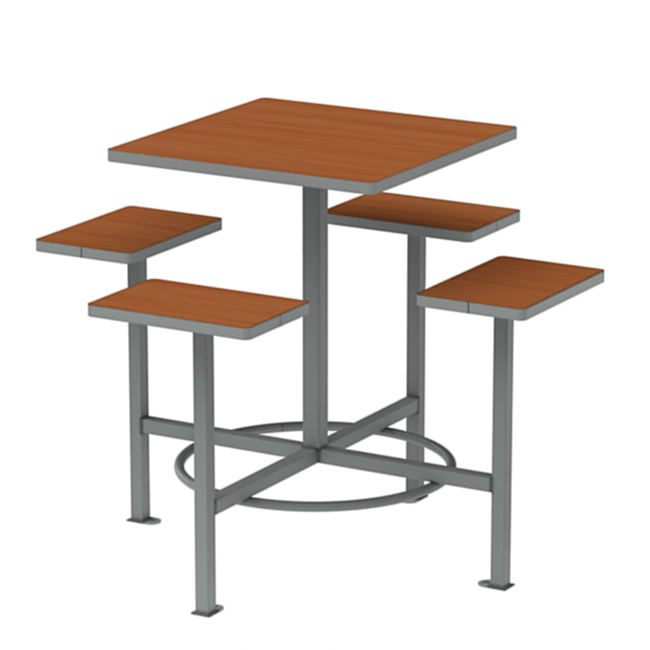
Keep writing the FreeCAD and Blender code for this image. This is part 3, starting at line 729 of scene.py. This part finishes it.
weld = {  # shares are of the leg, unless they say otherwise
    "leg": 0.0030,
    "bulge": 0.10, "sunk": 0.12,            # how far the skin arches out and the root lies in the metal
    "ripple": 0.10, "pitch": 0.0022,        # height and length of the ripples
    "taper": 0.9,                           # share of its section that a bead loses at an open end
    "across": 7, "toThePitch": 6, "fewest": 8,      # grid points across a bead, and along a straight one
    "roundTube": 420, "tubeCorner": 16, "roundRing": 90,    # and along those that bend
    "upright": {"out": 0.55, "in": 0.45, "along": 0.85, "aside": 0.5},  # the beads up an arm's two sides
    "cornerInset": 0.003,                   # the beads between two arms end this far inside their height
    "ring": {"wide": 2.0, "off": 0.45, "on": 0.7, "out": 0.55, "fall": 1.2},    # a wider leg and its shares
}


def bead(line, first, second, look, loop=False):
    # Fillet along a line: from the first leg's end to the second's, bulged outwards by a sine, and back
    # through a root sunk into the metal. A cosine ripple swells and shrinks the legs along the line, and at
    # an open end they shrink as a quarter ellipse.
    step = np.linalg.norm(np.diff(line, axis=0), axis=1)
    along = np.concatenate([[0.0], np.cumsum(step)])
    swell = 1 + look["ripple"] * np.cos(2 * math.pi * along / look["pitch"])
    if not loop:
        fromEnd = np.minimum(along, along[-1] - along) / look["leg"]
        swell = swell * np.sqrt(1 - (1 - np.clip(fromEnd, 0.0, 1.0)) ** 2 * look["taper"])
    first, second = first * swell[:, None], second * swell[:, None]
    share = np.linspace(0.0, 1.0, look["across"])[None, :, None]
    arch = look["bulge"] * np.sin(math.pi * share)
    skin = line[:, None] + first[:, None] * (1 - share + arch) + second[:, None] * (share + arch)
    root = line[:, None] - look["sunk"] * (first + second)[:, None]
    return gridFaces(np.concatenate([root, skin], axis=1), loop=loop)


def straightBead(start, end, first, second, look):
    count = max(int(math.dist(start, end) / look["pitch"] * look["toThePitch"]), look["fewest"])
    line = np.linspace(start, end, count)
    return bead(line, np.tile(first, (count, 1)), np.tile(second, (count, 1)), look)


def squareBead(halfSize, radius, centre, up, look):
    # A bead right round a square tube that stands on a plate, or hangs under one. The outline's points are
    # spread evenly along it first.
    line, out = roundedOutline(halfSize, halfSize, radius, look["tubeCorner"])
    line, out = np.vstack([line, line[:1]]), np.vstack([out, out[:1]])
    along = np.concatenate([[0.0], np.cumsum(np.linalg.norm(np.diff(line, axis=0), axis=1))])
    even = np.linspace(0.0, along[-1], look["roundTube"], endpoint=False)
    line, out = (np.stack([np.interp(even, along, way[:, axis]) for axis in range(3)], axis=-1)
                 for way in (line, out))
    return bead(line + centre, out * look["leg"], upwards(len(line)) * up * look["leg"], look, loop=True)


def armPoint(way, out, across, z):
    # A place on an arm: so far out along it, so far across it to the left, and its height.
    return np.array([way[0] * out - way[1] * across, way[1] * out + way[0] * across, z])


def armEndBeads(way, look):
    # Round an arm's end, on its post: across the top, across the bottom, and up both sides.
    leg, flat, share = look["leg"], railHalf - tubeCorners["post"], look["upright"]
    beads = [straightBead(armPoint(way, armEnd, -flat, z), armPoint(way, armEnd, flat, z),
                          armPoint(way, -leg, 0.0, 0.0), (0.0, 0.0, up * leg), look)
             for up, z in ((1, railHigh[2]), (-1, railLow[2]))]
    low, high = railLow[2] + tubeCorners["post"], railHigh[2] - tubeCorners["post"]
    for across in (-1, 1):
        foot = armPoint(way, armEnd + leg * share["out"], across * (railHalf - leg * share["in"]), 0.0)
        beads.append(straightBead(foot + (0, 0, low), foot + (0, 0, high),
                                  armPoint(way, -leg * share["along"], across * leg * share["aside"], 0.0),
                                  armPoint(way, leg * share["along"], across * leg * share["aside"], 0.0),
                                  look))
    return beads


def crossBeads(way, look):
    # Up the inner corner between an arm and the next one, and across the arm at the column's foot.
    leg, flat, inset = look["leg"], railHalf - tubeCorners["post"], look["cornerInset"]
    corner = armPoint(way, railHalf, railHalf, 0.0)
    return [straightBead(corner + (0, 0, railLow[2] + inset), corner + (0, 0, railHigh[2] - inset),
                         armPoint(way, leg, 0.0, 0.0), armPoint(way, 0.0, leg, 0.0), look),
            straightBead(armPoint(way, columnHalf, -flat, railHigh[2]),
                         armPoint(way, columnHalf, flat, railHigh[2]),
                         armPoint(way, leg, 0.0, 0.0), (0.0, 0.0, leg), look)]


def ringBead(way, side, look):
    # Bead in the wedge between the ring and an arm's underside, along the ring's arc: one leg lies on the
    # flat, and the other on the tube, where it falls away by the depth of its circle.
    share = look["ring"]
    wide = look["leg"] * share["wide"]
    drop = ringTube - math.sqrt(ringTube ** 2 - wide ** 2)
    halfTurn = (railHalf - tubeCorners["post"]) / ringRadius
    angle = math.atan2(way[1], way[0]) + np.linspace(-halfTurn, halfTurn, look["roundRing"])
    out = np.stack([np.cos(angle), np.sin(angle), np.zeros_like(angle)], axis=-1)
    line = out * (ringRadius + side * wide * share["off"]) + (0.0, 0.0, railLow[2])
    onTube = out * side * wide * share["out"] - (0.0, 0.0, drop * share["fall"])
    return bead(line, out * side * wide * share["on"], onTube, look)


def addWelds(look):
    ways = list(sides.values())
    spiderFoot = np.array([0.0, 0.0, columnTop])
    beads = {
        "weldsPostFeet": [squareBead(postHalf, tubeCorners["post"], armPoint(way, postOut, 0.0, plateTop),
                                     1, look) for way in ways],
        "weldsArmEnds": [made for way in ways for made in armEndBeads(way, look)],
        "weldsCross": [made for way in ways for made in crossBeads(way, look)],
        "weldsFootRing": [ringBead(way, side, look) for way in ways for side in (-1, 1)],
        "weldSpider": [squareBead(columnHalf, tubeCorners["column"], spiderFoot, -1, look)],
    }
    for name, grids in beads.items():
        addPiece(name, grids, coat, "frame")


addWelds(weld)
print("weld beads made")


# Screws

screw = {
    "shank": 0.0024, "length": 0.022, "point": 0.002, "pointShare": 0.3,
    "head": 0.0050, "headHeight": 0.0030, "crown": 0.0036,
    "recessArm": 0.0026, "recessArmFade": 0.0006,
    "recessWidth": 0.0007, "recessWidthFade": 0.0003,
    "recessDepth": 0.0017,
    "around": 48, "rimSteps": 6, "faceSteps": 15,
    "pole": 0.0001,                                # radius of the innermost points
    "start": 0.3,                                  # radians from +X to the first column of points
    "tableInner": 0.110, "tableOuter": 0.230,      # radii of the two rings of screws under the table
    "plate": 0.0050, "plateInset": 0.012,          # a swivel plate, and its screws inside its edges
}


def panScrew(look, x, y, seat):
    # A lathe shape: radius and height from the middle of the head's face, over its rounded rim, along the
    # shank to a blunt point. The cross recess sinks the face by a depth that fades at the arms' edges.
    arc = np.linspace(0.0, math.pi / 2, look["rimSteps"])
    rimR = look["crown"] + (look["head"] - look["crown"]) * np.sin(arc)
    rimZ = -look["headHeight"] * np.cos(arc)
    faceR = np.linspace(look["pole"], look["crown"], look["faceSteps"] + 1)[:-1]
    tail = [(look["shank"], 0.0), (look["shank"], look["length"] - look["point"]),
            (look["shank"] * look["pointShare"], look["length"])]
    radius = np.concatenate([faceR, rimR, [r for r, h in tail]])
    height = np.concatenate([np.full(len(faceR), -look["headHeight"]), rimZ, [h for r, h in tail]])
    px, py = (radius[:, None] * way for way in circle(look["around"], look["start"]).T)
    acrossArm, alongArm = np.minimum(abs(px), abs(py)), np.maximum(abs(px), abs(py))
    sunk = (np.clip((look["recessWidth"] - acrossArm) / look["recessWidthFade"] + 0.5, 0.0, 1.0)
            * np.clip((look["recessArm"] - alongArm) / look["recessArmFade"] + 0.5, 0.0, 1.0))
    sunk[len(faceR):] = 0.0
    pz = height[:, None] + look["recessDepth"] * sunk
    return gridFaces(np.stack([px + x, py + y, pz + seat], axis=-1))


def addScrews(look):
    level = corners("table_spider")[0][2]
    plateUnder = corners("front_seat_backer")[0][2] - look["plate"]
    places = [(way[0] * out, way[1] * out) for out in (look["tableInner"], look["tableOuter"])
              for way in sides.values()]
    addPiece("tableScrews", [panScrew(look, x, y, level) for x, y in places], finishes["zincSteel"],
             "frame", ["table_screws"])
    for side in sides:
        low, high = corners(f"{side}_swivel_plate")
        low, high = low + look["plateInset"], high - look["plateInset"]
        places = [(x, y) for x in (low[0], high[0]) for y in (low[1], high[1])]
        addPiece(f"{side}SeatScrews", [panScrew(look, x, y, plateUnder) for x, y in places],
                 finishes["zincSteel"], f"seat_{side}", [f"{side}_seat_screws"])


addScrews(screw)
print("screws made")


# Return springs

spring = {
    "wire": 0.00125, "knuckle": 0.0015,    # radii of the wire and of its bends
    "turns": 6, "pitch": 0.0034, "around": 12, "alongTurn": 56, "alongLeg": 6,
    "spindle": 0.010, "bite": 0.0060,      # radius that the foot's leg reaches, and how far it goes in
}


def returnSpring(look, side):
    # Helix of whole turns round the post's axis, a leg straight up at its top into the housing and one
    # straight in at its foot into the spindle. The coil's section stands on the radius and the upright.
    low, high = corners(f"{side}_return_spring")
    way = sides[side]
    middle = np.array([way[0] * postOut, way[1] * postOut, 0.0])
    coil = max(high[0] - low[0], high[1] - low[1]) / 2 - look["knuckle"]
    foot, rise, leg = low[2] + look["knuckle"], look["turns"] * look["pitch"], look["alongLeg"]
    share = np.linspace(0.0, 1.0, look["turns"] * look["alongTurn"])
    angle = math.atan2(way[1], way[0]) + math.pi / 2 + share * look["turns"] * 2 * math.pi
    out = np.stack([np.cos(angle), np.sin(angle), np.zeros_like(angle)], axis=-1)
    line = middle + out * coil + np.stack([0 * share, 0 * share, foot + share * rise], axis=-1)
    legIn = np.linspace(line[0], line[0] - out[0] * (coil - look["spindle"] + look["bite"]), leg)
    legUp = np.linspace(line[-1], (*line[-1][:2], high[2]), leg)
    across = np.tile([-out[0][1], out[0][0], 0.0], (leg, 1))
    section = look["wire"] * circle(look["around"])
    grids = [gridFaces(carry(line, out, upwards(len(line)), section)),
             gridFaces(carry(legIn, across, upwards(leg), section)),
             gridFaces(carry(legUp, np.tile(out[-1], (leg, 1)), across, section))]
    piece = addPiece(f"{side}ReturnSpring", grids, finishes["springSteel"], None,
                     [f"{side}_return_spring"])
    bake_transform(piece)


for side in sides:
    returnSpring(spring, side)
print("return springs made")


# Room and light

room = {
    "floor": (0.08, 0.08, 0.08),
    "floorMottle": 0.01,
    "floorCloud": 1.5,     # grains to the metre
    "floorRoughness": 0.9,
    "floorGlow": 0.97,     # light that comes up through the pale floor
    "holeShade": 0.40,     # share of it inside an anchor hole: a painted shadow on the floor under the hole
    "floorHalf": 40.0,
    "wall": (0.025, 0.025, 0.025),
    "wallMottle": 0.2,
    "wallCloud": 0.1,
    "wallRadius": 38.0,    # the white wall behind the floor, which only the camera sees
    "wallHeight": 14.0,
    "wallGlow": 1.05,
    "wallSteps": 64,
    "sky": 0.03,           # even light from above
    "horizon": 1.05,       # the pale wall of the studio, seen just over the floor
    "horizonTop": 0.09,    # sine of the elevation where that wall ends
    "horizonFade": 0.045,  # and how far below that it has its full light
}
lights = {  # azimuth and elevation of each soft lamp, the angle that it fills, and its strength
    "front": (330.0, 49.0, 40.0, 2.38),
    "frontLow": (0.0, 20.0, 40.0, 0.60),
    "frontRight": (45.0, 49.0, 40.0, 1.92),
    "right": (90.0, 49.0, 40.0, 0.49),
    "lowRight": (135.0, 12.0, 40.0, 0.80),
    "lowLeft": (255.0, 12.0, 40.0, 1.72),
    "left": (280.0, 49.0, 40.0, 1.33),
}
lampDistance = 3.0    # a sun lamp is as strong from any distance
softBoxes = {  # round panels on or near the floor: place, what each faces, its diameter, and its power
    "boxBack": ((1.2, 1.2, 0.3), (0.3, 0.3, 0.2), 0.6, 2.3),
    "boxFront": ((-0.25, -1.45, 0.12), (0.0, -0.5, 0.05), 0.5, 3.2),
    "floorRight": ((0.2, -0.4, 0.0015), (0.2, -0.4, 1.0), 1.6, 3.5),
    "floorLeft": ((-0.4, -0.4, 0.0015), (-0.4, -0.4, 1.0), 1.2, 1.5),
}
white = (1.0, 1.0, 1.0, 1.0)


def addFloor(look):
    half = look["floorHalf"]
    floor = addMesh("floor", [(-half, -half, 0), (half, -half, 0), (half, half, 0), (-half, half, 0)],
                    [(0, 1, 2, 3)])
    material, shader, place, split = newFinish("paleFloor")
    cloud = evenNoise(place, look["floorCloud"])
    floor.data.materials.append(dress(material, shader, {
        "Base Color": mottled(cloud, look["floor"], look["floorMottle"]),
        "Roughness": look["floorRoughness"],
        "Specular IOR Level": 0.0,
        # painted shadow on the floor inside the anchor holes
        "Emission Color": mix(inAnchor(split), white, colour((look["holeShade"],) * 3)),
        "Emission Strength": look["floorGlow"],
    }))


def addWall(look):
    # Drum of two rings of points round the floor's rim. No light falls from it on the table.
    turn = circle(look["wallSteps"]) * look["wallRadius"]
    foot = np.column_stack([turn, np.zeros(len(turn))])
    points, quads, ends = gridFaces(np.stack([foot, foot + (0.0, 0.0, look["wallHeight"])]))
    wall = addMesh("wall", points.tolist(), quads.tolist())
    for rays in ("diffuse", "glossy", "transmission", "volume_scatter", "shadow"):
        setattr(wall, f"visible_{rays}", False)
    material, shader, place, split = newFinish("whiteWall")
    cloud = evenNoise(place, look["wallCloud"], detail=1.0)
    wall.data.materials.append(dress(material, shader, {
        "Base Color": mottled(cloud, look["wall"], look["wallMottle"]),
        "Specular IOR Level": 0.0,
        "Emission Color": white,
        "Emission Strength": look["wallGlow"],
    }))


def addSky(look):
    # Even and dim above, with the pale studio wall in a band over the horizon.
    world = bpy.data.worlds.new("studio")
    world.use_nodes = True
    tree = world.node_tree
    way = Wire(tree).node("ShaderNodeTexCoord", output="Generated")
    height = way.node("ShaderNodeSeparateXYZ", {}, {"Vector": way}, output="Z")
    pale = held((look["horizonTop"] - height) / look["horizonFade"])
    background = tree.nodes["Background"].inputs
    way.join(look["sky"] + pale * (look["horizon"] - look["sky"]), background["Strength"])
    background["Color"].default_value = white
    bpy.context.scene.world = world


def hangLamp(data, place, target):
    lamp = addObject(data.name, data)
    lamp.location = place
    lamp.rotation_euler = (Vector(place) - Vector(target)).to_track_quat("Z", "Y").to_euler()
    lamp.visible_camera = False


def addLamp(name, azimuth, elevation, spread, strength):
    data = bpy.data.lights.new(name, "SUN")
    data.angle, data.energy = math.radians(spread), strength
    hangLamp(data, lookFrom(azimuth, elevation) * lampDistance, (0.0, 0.0, 0.0))


def addSoftBox(name, place, target, size, power):
    data = bpy.data.lights.new(name, "AREA")
    data.shape, data.size, data.energy = "DISK", size, power
    hangLamp(data, place, target)


addFloor(room)
addWall(room)
addSky(room)
for name, values in lights.items():
    addLamp(name, *values)
for name, values in softBoxes.items():
    addSoftBox(name, *values)
print("room lit")


# The picture's own finish

picture = {"gamma": 2.2, "grow": 0.30, "soften": 1.0, "sharpen": 0.22}  # shares of each full step


def blendImages(first, second, amount):
    # The first image with this share of the second, held to 0 to 1.
    return first.node("CompositorNodeMixRGB", {"use_clamp": True}, {0: amount, 1: first, 2: second})


def heldImage(image):
    return blendImages(image, image, 0.0)


def grownDark(image):
    # Each channel's least value among the neighbours: the dark areas grown by one pixel.
    parts = {}
    for name in ("Red", "Green", "Blue"):
        channel = image.node("CompositorNodeSeparateColor", {}, {"Image": image}, output=name)
        feeds = {"Mask": channel, "Size": -1}
        parts[name] = channel.node("CompositorNodeDilateErode", {"mode": "STEP"}, feeds)
    return image.node("CompositorNodeCombineColor", {}, parts)


def finishPicture(look):
    # On display values: outlines grown by a share of a pixel, then edges softened, then detail sharpened.
    scene = bpy.context.scene
    scene.view_settings.view_transform = "Standard"
    scene.use_nodes = True
    tree = scene.node_tree
    tree.nodes.clear()
    image = heldImage(Wire(tree).node("CompositorNodeRLayers"))
    image = image.node("CompositorNodeGamma", {}, {"Image": image, "Gamma": 1 / look["gamma"]})
    image = blendImages(image, grownDark(image), look["grow"])
    for kind in ("soften", "sharpen"):
        feeds = {"Image": image, "Fac": look[kind]}
        image = heldImage(image.node("CompositorNodeFilter", {"filter_type": kind.upper()}, feeds))
    image = image.node("CompositorNodeGamma", {}, {"Image": image, "Gamma": look["gamma"]})
    image.node("CompositorNodeComposite", {}, {"Image": image}, output=None)


finishPicture(picture)
print("picture finish set")
